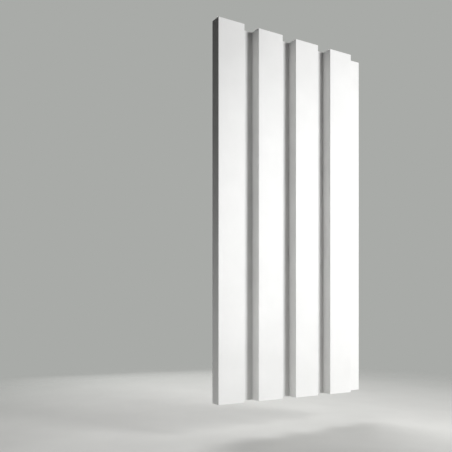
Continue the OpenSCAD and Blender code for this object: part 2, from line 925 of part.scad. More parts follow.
module at_blind_end() {
    on_header(header_left, top_header_up) rotate([0, -90, 0]) children();
}

module at_vent_end() {
    on_header(top_header_right, top_header_up) rotate([0, 90, 0]) children();
}

module blind_plug() {
    key_r = 6;
    color(brass) at_blind_end() difference() {
        half_inch_plug();
        translate([0, 0, -plug_thread_len / 2]) {
            cylinder(r = key_r, h = plug_thread_len + plug_hex_t, $fn = 6);
        }
    }
}

module plug_seals() {
    color("black") {
        at_blind_end() translate([0, 0, seal_r]) seal_ring(seal_mid_r, seal_r);
        at_vent_end() translate([0, 0, seal_r]) seal_ring(seal_mid_r, seal_r);
    }
}

module vent_plug() {
    lip_t = 1.2;
    lip_w = 0.6;
    seat_in = vent_screw_in + vent_seat_gap;
    color(brass) at_vent_end() difference() {
        union() {
            half_inch_plug();
            cylinder(r = vent_neck_r, h = vent_end);
            translate([0, 0, vent_end - lip_t]) cylinder(r = vent_neck_r + lip_w, h = lip_t);
        }
        translate([0, 0, -seat_in]) {
            cylinder(r = vent_screw_r + run_clear, h = seat_in + vent_end + through);
        }
        translate([0, 0, -plug_thread_len - through]) cylinder(r = bleed_r, h = plug_thread_len);
        translate([0, 0, plug_hex_t + nozzle_gap + nozzle_w / 2]) rotate([0, 90, 0]) {
            cylinder(r = bleed_r, h = vent_neck_r + through);
        }
    }
}

module vent_nozzle() {
    reach = nozzle_r + spout_len;
    color(moulding) at_vent_end() translate([0, 0, plug_hex_t + nozzle_gap]) difference() {
        union() {
            cylinder(r = nozzle_r, h = nozzle_w);
            translate([0, 0, nozzle_w / 2]) rotate([0, 90, 0]) cylinder(r = spout_r, h = reach);
        }
        translate([0, 0, -through]) {
            cylinder(r = vent_neck_r + run_clear, h = nozzle_w + 2 * through);
        }
        translate([0, 0, nozzle_w / 2]) rotate([0, 90, 0]) cylinder(r = spout_bore_r, h = reach + through);
    }
}

module vent_screw() {
    color(brass) at_vent_end() {
        translate([0, 0, -vent_screw_in]) {
            cylinder(r = vent_screw_r, h = vent_key_start + vent_screw_in);
        }
        translate([-vent_key_w / 2, -vent_key_w / 2, vent_key_start]) {
            cube([vent_key_w, vent_key_w, vent_key_len]);
        }
    }
}

// ---------- valve pieces that both valves share ----------

module tailpieces() {
    color(brass) under_both_bosses() difference() {
        union() {
            drum(male_half_inch_r, -boss_len, 0);
            drum(tail_collar_r, 0, tail_collar_t);
            drum(tail_neck_r, tail_collar_t, spigot_top);
            drum(union_thread_r - easy_clear, spigot_top - tail_shoulder_t, spigot_top);
        }
        drum(tail_bore_r, -boss_len - through, spigot_top + through);
        mirror([0, 0, 1]) seal_groove();
    }
}

module tailpiece_seals() {
    color("black") under_both_bosses() translate([0, 0, -seal_r]) seal_ring(seal_mid_r, seal_r);
}

module union_nuts() {
    color(brass) under_both_bosses() difference() {
        translate([0, 0, -union_top - union_h]) hex_bar(union_af, union_h);
        drum(tail_neck_r + easy_clear, union_top - through, union_top + union_h + through);
        drum(union_thread_r + thread_clear, union_top + union_ledge_t, union_top + union_h + through);
    }
}

// From the valve's axis out towards the wall
module at_inlet() {
    under_both_bosses() translate([0, 0, -inlet_at]) rotate([-90, 0, 0]) children();
}

module compression_nuts() {
    cone_room = 0.6;
    cone_start = compression_thread_len - bite;
    cone_end = compression_h - compression_end_t;
    color(brass) at_inlet() translate([0, 0, compression_start]) difference() {
        hex_bar(compression_af, compression_h);
        translate([0, 0, -through]) cylinder(r = pipe_socket_r, h = compression_h + 2 * through);
        translate([0, 0, -through]) {
            cylinder(r = compression_thread_r + thread_clear, h = compression_thread_len + through);
        }
        translate([0, 0, cone_start]) {
            cylinder(r1 = olive_r + cone_room, r2 = pipe_socket_r + cone_room, h = cone_end - cone_start);
        }
    }
}

module olives() {
    shoulder = 0.8;
    end_w = 0.5;
    crown_r = olive_r - easy_clear;
    color(brass) at_inlet() translate([0, 0, branch_len + run_clear]) rotate_extrude() {
        polygon([
            [pipe_socket_r, 0], [pipe_socket_r + end_w, 0], [crown_r, shoulder],
            [crown_r, olive_len - 2 * shoulder], [pipe_socket_r + end_w, olive_len],
            [pipe_socket_r, olive_len]
        ]);
    }
}

module valve_casting() {
    relief = 0.8;
    relief_h = 1.5;
    shoulder_w = 1.5;
    shoulder_h = 4;
    difference() {
        union() {
            drum(union_thread_r, spigot_top, body_top);
            drum(body_r, body_top, thread_top - relief_h);
            drum(body_r - relief, body_top, thread_top);
            drum(head_thread_r, thread_top, body_end);
            translate([0, 0, -inlet_at]) rotate([-90, 0, 0]) {
                cylinder(r = branch_r, h = branch_len - compression_thread_len);
                cylinder(r = compression_thread_r, h = branch_len);
                translate([0, 0, body_r - shoulder_h / 2]) {
                    cylinder(r = compression_thread_r + shoulder_w, h = shoulder_h);
                }
            }
        }
        drum(outlet_r, spigot_top - through, seat_top);
        drum(seat_opening_r, seat_top - through, seat_under + through);
        drum(chamber_r, seat_under, body_end + through);
        translate([0, 0, -inlet_at]) rotate([-90, 0, 0]) {
            cylinder(r = inlet_r, h = branch_len);
            translate([0, 0, branch_len - pipe_socket_d]) {
                cylinder(r = pipe_socket_r, h = pipe_socket_d + through);
            }
        }
    }
}

module thermostatic_valve_body() { color(brass) under_boss(boxes - 1) valve_casting(); }
module lockshield_body() { color(brass) under_boss(0) valve_casting(); }

// Screwed barrel, hexagon and nose that close the bottom of a valve body
module gland_blank(room_r, room_from, room_to, hole_r) {
    difference() {
        union() {
            drum(insert_r, insert_top, body_end);
            translate([0, 0, -insert_hex_end]) hex_bar(insert_af, insert_hex_h);
            drum(insert_nose_r, insert_hex_end, insert_end);
        }
        drum(room_r, room_from, room_to);
        drum(hole_r, insert_top - through, insert_end + through);
        drum(seal_room_r + hole_r - spindle_r - run_clear, insert_hex_end - seal_room_len, insert_hex_end);
    }
}

module spindle_seals() {
    wide_room = seal_room_r + stem_r - spindle_r;
    color("black") {
        under_boss(boxes - 1) translate([0, 0, seal_room_len / 2 - insert_hex_end]) {
            seal_ring(seal_room_r - spindle_seal_r, spindle_seal_r);
        }
        under_boss(0) translate([0, 0, seal_room_len / 2 - insert_hex_end]) {
            seal_ring(wide_room - spindle_seal_r, spindle_seal_r);
        }
    }
}

// ---------- thermostatic insert ----------

module valve_insert() {
    color(brass) under_boss(boxes - 1) {
        gland_blank(spring_room_r, spring_top, room_end, spindle_r + run_clear);
    }
}

module valve_spindle() {
    color(steel) under_boss(boxes - 1) {
        drum(spindle_r, holder_top, spindle_tip);
        drum(disc_r, holder_top, holder_top + holder_t);
        drum(spring_room_r - easy_clear, spring_end, spring_end + spring_collar_t);
    }
}

module valve_disc() {
    color("black") under_boss(boxes - 1) drum(disc_r, disc_top, holder_top);
}

module valve_spring() {
    color(steel) under_boss(boxes - 1) translate([0, 0, -spring_end]) {
        coil(spring_mid_r, spring_wire_r, spring_len, spring_turns);
    }
}

// ---------- thermostatic head ----------

module head_collar() {
    groove_r = 0.8;
    plain_rim = 2;
    color(brass) under_boss(boxes - 1) difference() {
        drum(collar_r, collar_top, collar_end);
        drum(head_thread_r + thread_clear, collar_top - through, base_under_flange);
        drum(base_neck_r + easy_clear, collar_top, collar_end + through);
        for (i = [0 : collar_grooves - 1]) rotate(i * 360 / collar_grooves) {
            translate([collar_r + groove_r / 2, 0, 0]) {
                drum(groove_r, collar_top + plain_rim, collar_end + through, $fn = 24);
            }
        }
    }
}

module head_base() {
    color(moulding) under_boss(boxes - 1) difference() {
        union() {
            drum(head_thread_r - easy_clear, body_end, base_under_flange);
            drum(base_neck_r, body_end, base_shoulder);
            drum(base_r, base_shoulder, sleeve_end);
        }
        drum(base_bore_r, guide_end, sleeve_end + through);
        drum(rod_r + run_clear, body_end, guide_end + through);
        drum(insert_af / sqrt(3) + easy_clear, body_end - through, guide_top);
    }
}

module head_grip() {
    scallop_out = grip_r + rib_r - rib_d;
    scallop_from = grip_top + 10;
    scallop_to = grip_end - 5;
    slot_rim = 1;
    slot_mid = (sleeve_end + grip_end - grip_end_t) / 2;
    slot_len = grip_end - grip_end_t - sleeve_end - 2 * slot_rim;
    end_slot_len = sensor_r - 4;
    end_slot_at = sensor_r / 2 + 2;
    color(moulding) under_boss(boxes - 1) difference() {
        union() {
            difference() {
                drum(grip_r, grip_top, grip_end);
                drum(grip_bore_r, grip_top - through, grip_end - grip_end_t);
            }
            difference() {
                drum(drive_r, carrier_top - drive_over, grip_end - grip_end_t / 2);
                drum(drive_bore_r, carrier_top - drive_over - through, grip_end - grip_end_t);
            }
        }
        for (i = [0 : grip_ribs - 1]) rotate((i + 0.5) * 360 / grip_ribs) {
            translate([scallop_out, 0, 0]) drum(rib_r, scallop_from, scallop_to);
        }
        for (i = [0 : grip_slots - 1]) rotate(i * 360 / grip_slots) {
            translate([grip_r, 0, -slot_mid]) {
                cube([2 * (grip_r - drive_r - slot_rim), grip_slot_w, slot_len], center = true);
            }
            translate([end_slot_at, 0, -grip_end]) {
                cube([end_slot_len, grip_slot_w, 2 * (grip_end_t + through)], center = true);
            }
        }
    }
}

module head_sensor() {
    color(steel) under_boss(boxes - 1) {
        drum(rod_r, rod_top, sensor_top);
        drum(sensor_r, sensor_top, sensor_end);
    }
}

module sensor_carrier() {
    color(moulding) under_boss(boxes - 1) difference() {
        drum(carrier_r, carrier_top, carrier_end);
        drum(carrier_r - carrier_wall, carrier_top - through, carrier_end - carrier_end_t);
        drum(sensor_r / 2, carrier_top, carrier_end + through);
    }
}

module head_spring() {
    wire = 0.8;
    turns = 2;
    inset = 3;
    color(steel) under_boss(boxes - 1) translate([0, 0, carrier_end_t - carrier_end]) {
        coil(sensor_r - inset, wire, carrier_end - carrier_end_t - sensor_end, turns);
    }
}

// ---------- lockshield ----------

module lockshield_bonnet() {
    color(brass) under_boss(0) {
        gland_blank(spring_room_r, insert_top - through, bonnet_room_end, stem_r + run_clear);
    }
}

module lockshield_stem() {
    color(brass) under_boss(0) difference() {
        union() {
            drum(stem_r, stem_top, stem_tip);
            drum(stem_collar_r, stem_collar_top, stem_collar_top + stem_collar_t);
        }
        translate([0, 0, -stem_tip - through]) {
            cylinder(r = key_af / sqrt(3), h = key_d + through, $fn = 6);
        }
    }
}

module lockshield_cone() {
    stem_end_room = 0.5;
    color(brass) under_boss(0) difference() {
        union() {
            translate([0, 0, -cone_face]) {
                cylinder(r1 = seat_opening_r - easy_clear, r2 = stem_r, h = cone_lift);
            }
            drum(disc_r, cone_face, cone_face + cone_flange_t);
            drum(cone_hub_r, cone_face + cone_flange_t, hub_end);
        }
        drum(stem_r + run_clear, stem_top - cone_lift - stem_end_room, hub_end + through);
    }
}

module lockshield_cap() {
    groove_r = 0.7;
    groove_out = cap_r + groove_r / 3;
    plain_rim = 3;
    body_room = 2;
    key_room = 1.5;
    color(moulding) under_boss(0) difference() {
        drum(cap_r, cap_top, cap_end);
        drum(head_thread_r + run_clear, cap_top - through, body_end + body_room);
        drum(insert_af / sqrt(3) + key_room, cap_top, cap_end - cap_end_t);
        for (i = [0 : cap_ribs - 1]) rotate(i * 360 / cap_ribs) {
            translate([groove_out, 0, 0]) drum(groove_r, cap_top + plain_rim, cap_end + through, $fn = 24);
        }
    }
}

// ---------- rails ----------

module rail_section() {
    difference() {
        translate([0, -rail_h / 2]) square([rail_d, rail_h]);
        translate([rail_t, -rail_inner_top]) square([rail_d - 2 * rail_t, 2 * rail_inner_top]);
        translate([rail_t, -lip_inner]) square([rail_d, 2 * lip_inner]);
    }
}

module rail(up) {
    length = rail_right - rail_left;
    color(steel) translate([panel_left + rail_left, panel_back, panel_bottom + up]) difference() {
        rotate([90, 0, 90]) linear_extrude(length) rail_section();
        for (x = rail_screw_places()) translate([x - rail_left, -through, 0]) rotate([-90, 0, 0]) {
            cylinder(r = rail_screw_r + easy_clear, h = rail_t + 2 * through);
        }
    }
}

function rail_screw_places() = [
    for (box = [0 : boxes - 1], side = [-1, 1]) box * pitch + channel_x + side * slot_x
];

module upper_rail() { rail(upper_rail_up); }
module lower_rail() { rail(lower_rail_up); }

module rail_screws() {
    socket_d = 2;
    socket_r = 1.7;
    color(steel) for (x = rail_screw_places(), up = [lower_rail_up, upper_rail_up]) {
        translate([panel_left + x, panel_back + rail_t, panel_bottom + up]) rotate([-90, 0, 0]) {
            difference() {
                union() {
                    translate([0, 0, -rail_screw_len]) cylinder(r = rail_screw_r, h = rail_screw_len);
                    cylinder(r = rail_screw_head_r, h = rail_screw_head_h);
                }
                translate([0, 0, rail_screw_head_h - socket_d]) {
                    cylinder(r = socket_r, h = socket_d + through, $fn = 6);
                }
            }
        }
    }
}

// ---------- wall brackets ----------

module bracket(x, up) {
    hook_top = rail_inner_top - pad_t;
    shelf_start = hook_y - plate_t / 2;
    color(steel) at_bracket(x, up) difference() {
        union() {
            rotate([90, 0, 0]) linear_extrude(plate_t) wall_plate_outline();
            translate([-hook_w / 2, shelf_start, -shelf_down]) {
                cube([hook_w, -shelf_start - plate_t / 2, plate_t]);
                cube([hook_w, plate_t, hook_top + shelf_down]);
            }
            for (side = [-1, 1]) {
                translate([side * (hook_w - gusset_t) / 2 - gusset_t / 2, -plate_t / 2, shelf_top - bite]) {
                    rotate([90, 0, 90]) linear_extrude(gusset_t) {
                        polygon([[0, 0], [-gusset_size, 0], [0, gusset_size]]);
                    }
                }
            }
        }
        for (side = [-1, 1]) translate([0, through, side * fixing_dz]) rotate([90, 0, 0]) {
            cylinder(r = fixing_r, h = plate_t + 2 * through);
        }
        translate([0, -pivot_out, -shelf_down - through]) {
            cylinder(r = latch_pin_r, h = plate_t + 2 * through);
        }
    }
}

module wall_plate_outline() {
    flat_w = plate_w - 2 * plate_corner_r;
    flat_h = plate_h - 2 * plate_corner_r;
    square([flat_w, plate_h], center = true);
    square([plate_w, flat_h], center = true);
    for (x = [-1, 1], z = [-1, 1]) {
        translate([x * flat_w / 2, z * flat_h / 2]) circle(r = plate_corner_r);
    }
}

module bracket_upper_left() { bracket(bracket_left, upper_rail_up); }
module bracket_upper_right() { bracket(bracket_right, upper_rail_up); }
module bracket_lower_left() { bracket(bracket_left, lower_rail_up); }
module bracket_lower_right() { bracket(bracket_right, lower_rail_up); }

// Plastic clip over the hook, which the rail's top rests on
module hook_pads() {
    side = 1;
    color("dimgray") at_all_brackets() difference() {
        translate([-hook_w / 2 - side, hook_y - plate_t / 2 - pad_t, rail_inner_top - pad_h]) {
            cube([hook_w + 2 * side, plate_t + 2 * pad_t, pad_h]);
        }
        translate([-hook_w / 2, hook_y - plate_t / 2, rail_inner_top - pad_h - through]) {
            cube([hook_w, plate_t, pad_h - pad_t + through]);
        }
    }
}

// Turns under the shelf so that its nose stands over the rail's lower lip
module latch(x, up) {
    nose = latch_reach + rail_t - rail_back - pivot_out;
    thick = latch_top - latch_under;
    color(steel) at_bracket(x, up) translate([0, -pivot_out, 0]) difference() {
        union() {
            translate([0, 0, latch_under]) cylinder(r = latch_hub_r, h = thick);
            translate([-latch_w / 2, -nose, latch_under]) cube([latch_w, nose + latch_hub_r, thick]);
            translate([-latch_w / 2, latch_hub_r - through, latch_under - latch_tab_h]) {
                cube([latch_w, latch_tab_t, latch_tab_h + thick]);
            }
        }
        translate([0, 0, latch_under - through]) {
            cylinder(r = latch_pin_r + run_clear, h = thick + 2 * through);
        }
    }
}

module latch_upper_left() { latch(bracket_left, upper_rail_up); }
module latch_upper_right() { latch(bracket_right, upper_rail_up); }
module latch_lower_left() { latch(bracket_left, lower_rail_up); }
module latch_lower_right() { latch(bracket_right, lower_rail_up); }

module latch_pins() {
    under = latch_under - latch_gap;
    color(steel) at_all_brackets() translate([0, -pivot_out, 0]) {
        translate([0, 0, under]) cylinder(r = latch_pin_r, h = shelf_top - under);
        translate([0, 0, shelf_top]) cylinder(r = latch_head_r, h = latch_head_t);
        translate([0, 0, under - latch_head_t]) cylinder(r = latch_head_r, h = latch_head_t);
    }
}

profile_1();
profile_2();
profile_3();
profile_4();
top_cover_1();
top_cover_2();
top_cover_3();
top_cover_4();
cover_screws();
channel_plugs();
riser_nipples();
top_header();
bottom_header();
header_bushes();
header_end_discs();
flow_divider();
valve_bosses();
upper_rail();
lower_rail();
rail_screws();
blind_plug();
vent_plug();
plug_seals();
vent_nozzle();
vent_screw();
tailpieces();
tailpiece_seals();
union_nuts();
compression_nuts();
olives();
spindle_seals();
thermostatic_valve_body();
valve_insert();
valve_spindle();
valve_disc();
valve_spring();
head_collar();
head_base();
head_grip();
head_sensor();
sensor_carrier();
head_spring();
lockshield_body();
lockshield_bonnet();
lockshield_stem();
lockshield_cone();
lockshield_cap();
bracket_upper_left();
bracket_upper_right();
bracket_lower_left();
bracket_lower_right();
hook_pads();
latch_upper_left();
latch_upper_right();
latch_lower_left();
latch_lower_right();
latch_pins();
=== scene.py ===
"""Wall radiator of four raised boxes with a hidden valve set: finishes, small parts, light and camera."""
import json
import math

import bmesh
import bpy
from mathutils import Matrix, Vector


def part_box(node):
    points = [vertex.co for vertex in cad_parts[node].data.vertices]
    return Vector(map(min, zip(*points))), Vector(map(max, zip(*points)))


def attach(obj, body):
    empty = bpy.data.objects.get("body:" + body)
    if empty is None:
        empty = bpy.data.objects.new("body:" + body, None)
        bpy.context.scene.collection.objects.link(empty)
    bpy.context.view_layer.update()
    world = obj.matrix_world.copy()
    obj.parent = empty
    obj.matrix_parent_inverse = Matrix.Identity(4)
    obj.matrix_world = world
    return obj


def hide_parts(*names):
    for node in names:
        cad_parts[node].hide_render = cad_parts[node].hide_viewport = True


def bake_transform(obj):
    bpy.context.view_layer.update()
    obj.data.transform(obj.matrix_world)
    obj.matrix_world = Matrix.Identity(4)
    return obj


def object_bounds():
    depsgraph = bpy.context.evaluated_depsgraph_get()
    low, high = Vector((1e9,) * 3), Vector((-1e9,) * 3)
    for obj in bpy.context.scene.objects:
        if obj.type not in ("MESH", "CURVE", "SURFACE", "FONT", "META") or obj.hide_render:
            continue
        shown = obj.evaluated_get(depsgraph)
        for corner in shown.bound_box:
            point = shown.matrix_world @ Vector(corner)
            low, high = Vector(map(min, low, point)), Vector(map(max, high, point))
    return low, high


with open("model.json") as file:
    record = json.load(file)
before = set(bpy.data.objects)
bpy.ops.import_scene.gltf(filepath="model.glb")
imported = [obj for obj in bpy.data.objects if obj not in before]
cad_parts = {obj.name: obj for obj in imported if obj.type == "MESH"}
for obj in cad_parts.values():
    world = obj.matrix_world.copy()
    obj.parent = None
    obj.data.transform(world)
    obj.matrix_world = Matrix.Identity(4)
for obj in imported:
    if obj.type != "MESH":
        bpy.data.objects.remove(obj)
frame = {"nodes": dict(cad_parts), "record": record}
cad_low, cad_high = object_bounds()

MM = 0.001


# ---------- colours and nodes ----------

def linear(code):
    """A sRGB hex colour as the linear colour that shaders take."""
    parts = [int(code[i:i + 2], 16) / 255 for i in (1, 3, 5)]
    return tuple(c / 12.92 if c <= 0.04045 else ((c + 0.055) / 1.055) ** 2.4 for c in parts) + (1,)


def add(tree, kind, props=(), values=(), links=()):
    """A node with its own settings, the values of its sockets, and what feeds them."""
    made = tree.nodes.new(kind)
    for name, value in dict(props).items():
        setattr(made, name, value)
    for name, value in dict(values).items():
        made.inputs[name].default_value = value
    for name, source in dict(links).items():
        tree.links.new(source, made.inputs[name])
    return made


def finish(name, **values):
    """A new material with one Principled shader, and what its patterns are built on."""
    material = bpy.data.materials.new(name)
    material.use_nodes = True
    tree = material.node_tree
    tree.nodes.clear()
    shader = add(tree, "ShaderNodeBsdfPrincipled", values={k.replace("_", " "): v for k, v in values.items()})
    add(tree, "ShaderNodeOutputMaterial", links={"Surface": shader.outputs[0]})
    place = add(tree, "ShaderNodeTexCoord").outputs["Object"]
    return material, tree, shader, place


def grain(tree, place, size, detail=2.0, stretch=(1, 1, 1), **values):
    """Noise whose lumps are size metres across, drawn out along an axis by stretch."""
    mapped = add(tree, "ShaderNodeMapping", values={"Scale": [1 / s for s in stretch]},
                 links={"Vector": place})
    return add(tree, "ShaderNodeTexNoise", values={"Scale": 1 / size, "Detail": detail, **values},
               links={"Vector": mapped.outputs[0]}).outputs["Fac"]


def spread(tree, source, low, high, start=0.3, end=0.7):
    """A number that runs from low to high where the pattern runs from start to end."""
    return add(tree, "ShaderNodeMapRange",
               values={"From Min": start, "From Max": end, "To Min": low, "To Max": high},
               links={"Value": source}).outputs[0]


def tints(tree, source, *stops):
    """Colours laid over a pattern: pairs of a place from 0 to 1 and a hex colour."""
    ramp = add(tree, "ShaderNodeValToRGB", links={"Fac": source})
    points = ramp.color_ramp.elements
    while len(points) < len(stops):
        points.new(0.5)
    for point, (at, code) in zip(points, stops):
        point.position = at
        point.color = linear(code)
    return ramp.outputs["Color"]


def relief(tree, shader, source, height, strength=1.0):
    """Raises the surface by height metres where the pattern is 1."""
    bump = add(tree, "ShaderNodeBump", values={"Strength": strength, "Distance": height},
               links={"Height": source})
    tree.links.new(bump.outputs[0], shader.inputs["Normal"])


# ---------- finishes ----------

def powder_coat():
    """White polyester powder coat, sprayed on and oven cured: an even satin white skin.

    Its orange peel is 1 to 2 mm across. It is drawn at 7 mm so that it still shows on a panel this tall.
    """
    material, tree, shader, place = finish("powder_coat_white", IOR=1.5, Roughness=0.42)
    film = grain(tree, place, 160 * MM, detail=3.0)
    tree.links.new(tints(tree, film, (0.25, "#E4E4E3"), (0.5, "#E7E7E6"), (0.75, "#EAEAE9")),
                   shader.inputs["Base Color"])
    peel = grain(tree, place, 7 * MM, detail=1.0)
    tree.links.new(spread(tree, peel, 0.38, 0.47), shader.inputs["Roughness"])
    relief(tree, shader, peel, 0.09 * MM, 0.35)
    return material


def extruded_aluminium():
    """Mill-finish aluminium section: fine die lines run along its length and pick up long soft highlights."""
    material, tree, shader, place = finish("aluminium_mill_extruded", Metallic=1.0, Roughness=0.36)
    lines = grain(tree, place, 1.2 * MM, detail=4.0, stretch=(260, 1, 1))
    cloud = grain(tree, place, 45 * MM, detail=3.0, stretch=(3, 1, 1))
    tree.links.new(tints(tree, lines, (0.3, "#B4B8BB"), (0.55, "#C6C9CC"), (0.75, "#D3D6D8")),
                   shader.inputs["Base Color"])
    tree.links.new(spread(tree, cloud, 0.28, 0.44), shader.inputs["Roughness"])
    relief(tree, shader, lines, 0.05 * MM, 0.5)
    return material


def zinc_plate():
    """Zinc on pressed steel: a cool, slightly patchy satin over the faint lines of the rolled sheet."""
    material, tree, shader, place = finish("steel_zinc_plated", Metallic=1.0, Roughness=0.3)
    bloom = grain(tree, place, 14 * MM, detail=4.0, Distortion=0.6)
    rolled = grain(tree, place, 0.9 * MM, detail=3.0, stretch=(1, 1, 60))
    tree.links.new(tints(tree, bloom, (0.25, "#B4B8BE"), (0.5, "#BDC1C6"), (0.75, "#C7CACD")),
                   shader.inputs["Base Color"])
    tree.links.new(spread(tree, bloom, 0.36, 0.46), shader.inputs["Roughness"])
    relief(tree, shader, rolled, 0.03 * MM, 0.4)
    return material


def turned(name, axis, low, middle, high, roughness, pitch):
    """A metal turned in a lathe: fine rings left by the tool, one each pitch metres along the work's axis."""
    material, tree, shader, place = finish(name, Metallic=1.0, Roughness=roughness)
    handling = grain(tree, place, 9 * MM, detail=4.0)
    rings = add(tree, "ShaderNodeTexWave", props={"wave_type": "BANDS", "bands_direction": axis},
                values={"Scale": math.pi / 10 / pitch, "Distortion": 0.4, "Detail": 2.0},
                links={"Vector": place}).outputs["Fac"]
    tree.links.new(tints(tree, handling, (0.3, low), (0.5, middle), (0.7, high)),
                   shader.inputs["Base Color"])
    tree.links.new(spread(tree, handling, roughness - 0.05, roughness + 0.09), shader.inputs["Roughness"])
    relief(tree, shader, rings, 0.02 * MM, 0.35)
    return material


def satin_nickel(axis):
    """Satin nickel plate over turned brass: warm silver. Tool rings of 0.2 mm are drawn at 1 mm to show."""
    return turned("brass_nickel_plated_" + axis.lower(), axis, "#B5B0A6", "#CBC7BE", "#DAD7D0", 0.27, 1 * MM)


def turned_brass():
    """Bare brass from the lathe: yellow metal. Tool rings of 0.2 mm are drawn at 0.8 mm to show."""
    return turned("brass_turned", "Z", "#B08C45", "#C9A55D", "#DDBE7C", 0.25, 0.8 * MM)


def drawn_stainless():
    """Stainless rod and wire, drawn through a die: hard grey metal with a fine grain."""
    return turned("stainless_drawn", "Z", "#9C9EA0", "#B4B6B7", "#C8C9CA", 0.24, 0.6 * MM)


def nitrile_rubber():
    """Moulded nitrile rubber: dull black with a faint bloom."""
    material, tree, shader, place = finish("nitrile_rubber_moulded", IOR=1.52, Roughness=0.72)
    bloom = grain(tree, place, 3 * MM, detail=3.0)
    tree.links.new(tints(tree, bloom, (0.35, "#161617"), (0.7, "#2A2A2B")), shader.inputs["Base Color"])
    relief(tree, shader, bloom, 0.05 * MM, 0.4)
    return material


def moulded_abs():
    """Injection-moulded white ABS from a spark-eroded mould: a clean satin white with the finest tooth.

    The tooth is 0.2 mm. It is drawn at 0.9 mm so that it shows close up.
    """
    material, tree, shader, place = finish("abs_white_moulded", IOR=1.54, Roughness=0.36)
    tooth = grain(tree, place, 0.9 * MM, detail=2.0)
    flow = grain(tree, place, 22 * MM, detail=2.0)
    tree.links.new(tints(tree, flow, (0.3, "#EEEDE8"), (0.7, "#F4F3EF")), shader.inputs["Base Color"])
    tree.links.new(spread(tree, tooth, 0.32, 0.44), shader.inputs["Roughness"])
    relief(tree, shader, tooth, 0.04 * MM, 0.5)
    return material


def moulded_nylon():
    """Moulded dark grey nylon: a matte bearing plastic, a little cloudy."""
    material, tree, shader, place = finish("nylon_grey_moulded", IOR=1.53, Roughness=0.6)
    cloud = grain(tree, place, 5 * MM, detail=3.0)
    tree.links.new(tints(tree, cloud, (0.3, "#33353A"), (0.7, "#44464A")), shader.inputs["Base Color"])
    relief(tree, shader, cloud, 0.04 * MM, 0.5)
    return material


def pad_ink():
    """Dark pad-printing ink: thin, matte and a little uneven in cover."""
    material, tree, shader, place = finish("ink_pad_printed", IOR=1.48, Roughness=0.55)
    cover = grain(tree, place, 1.4 * MM, detail=3.0)
    tree.links.new(tints(tree, cover, (0.3, "#24282D"), (0.75, "#3A3F45")), shader.inputs["Base Color"])
    return material


COAT = powder_coat()
NICKEL = satin_nickel("Z")
NICKEL_ACROSS = satin_nickel("X")
ABS = moulded_abs()
INK = pad_ink()
FINISHES = {
    "white_powder_coat": COAT,
    "rail_aluminium": extruded_aluminium(),
    "zinc_plated_steel": zinc_plate(),
    "nickel_plated_brass": NICKEL,
    "bare_brass": turned_brass(),
    "seal_rubber": nitrile_rubber(),
    "stainless_steel": drawn_stainless(),
    "white_plastic": ABS,
    "grey_plastic": moulded_nylon(),
}
ACROSS = ("blind_plug", "vent_plug", "vent_screw")     # turned about an axis along the wall

for row in frame["record"]["subparts"]:
    skin = NICKEL_ACROSS if row["node"] in ACROSS else FINISHES[row["material_slot"]]
    part = frame["nodes"][row["node"]]
    part.data.materials.clear()
    part.data.materials.append(skin)


# ---------- making pieces ----------

def piece(name, mesh_builder, material, body):
    """A mesh piece made by mesh_builder(bm), with its finish and slot. It rides on body, if one is given."""
    bm = bmesh.new()
    mesh_builder(bm)
    bmesh.ops.recalc_face_normals(bm, faces=bm.faces)
    mesh = bpy.data.meshes.new(name)
    bm.to_mesh(mesh)
    bm.free()
    mesh.materials.append(material)
    for face in mesh.polygons:
        face.use_smooth = True
    made = bpy.data.objects.new(name, mesh)
    bpy.context.scene.collection.objects.link(made)
    if body:
        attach(made, body)
    return made


def middle(node):
    low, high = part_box(node)
    return (low + high) / 2


def sweep(bm, path, radius, steps=120, sides=10, closed=True):
    """A tube along path(t), t from 0 to 1, of radius(t). It joins up, or its ends are capped."""
    near = 0.002
    rings = []
    for i in range(steps if closed else steps + 1):
        t = i / steps
        here = path(t)
        ahead = (path(t + near) - path(t - near)).normalized()
        upright = abs(ahead.z) > 0.95
        side = (ahead.orthogonal() if upright else ahead.cross((0, 0, 1))).normalized()
        up = side.cross(ahead)
        r = radius(t)
        rings.append([bm.verts.new(here + side * (r * math.cos(a)) + up * (r * math.sin(a)))
                      for a in (2 * math.pi * k / sides for k in range(sides))])
    pairs = list(zip(rings, rings[1:]))
    if closed:
        pairs.append((rings[-1], rings[0]))
    else:
        bm.faces.new(rings[0])
        bm.faces.new(rings[-1])
    for a, b in pairs:
        for k in range(sides):
            n = (k + 1) % sides
            bm.faces.new((a[k], b[k], b[n], a[n]))


def bead_size(thick, ripples):
    """A weld bead's radius: laid in overlapping ripples, by a hand that wavers a little."""
    def radius(t):
        a = 2 * math.pi * t
        return thick * (1 + 0.14 * math.cos(ripples * a) + 0.05 * math.cos(3 * a))
    return radius


# ---------- weld beads ----------

HEADER_R = (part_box("bottom_header")[1].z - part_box("bottom_header")[0].z) / 2
header_mid = middle("bottom_header")
BEAD = 1.3 * MM
SUNK = 0.2 * MM     # how far a made piece's root lies inside what it stands on, or a bead's line outside it


def boss_saddle(x, boss_r):
    """Where a boss of that radius meets the underside of the bottom header."""
    def path(t):
        a = 2 * math.pi * t
        across = boss_r * math.sin(a)
        return Vector((x + boss_r * math.cos(a), header_mid.y + across,
                       header_mid.z - math.sqrt(max(HEADER_R ** 2 - across ** 2, 0))))
    return path


def ring_at(x, r):
    """A circle round a header's axis at x."""
    def path(t):
        a = 2 * math.pi * t
        return Vector((x, header_mid.y + r * math.cos(a), header_mid.z + r * math.sin(a)))
    return path


boss_low, boss_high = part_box("valve_bosses")
BOSS_R = (boss_high.y - boss_low.y) / 2
BOSS_XS = (boss_low.x + BOSS_R, boss_high.x - BOSS_R)


def boss_beads(bm):
    for x in BOSS_XS:
        sweep(bm, boss_saddle(x, BOSS_R + SUNK), bead_size(BEAD, 34))


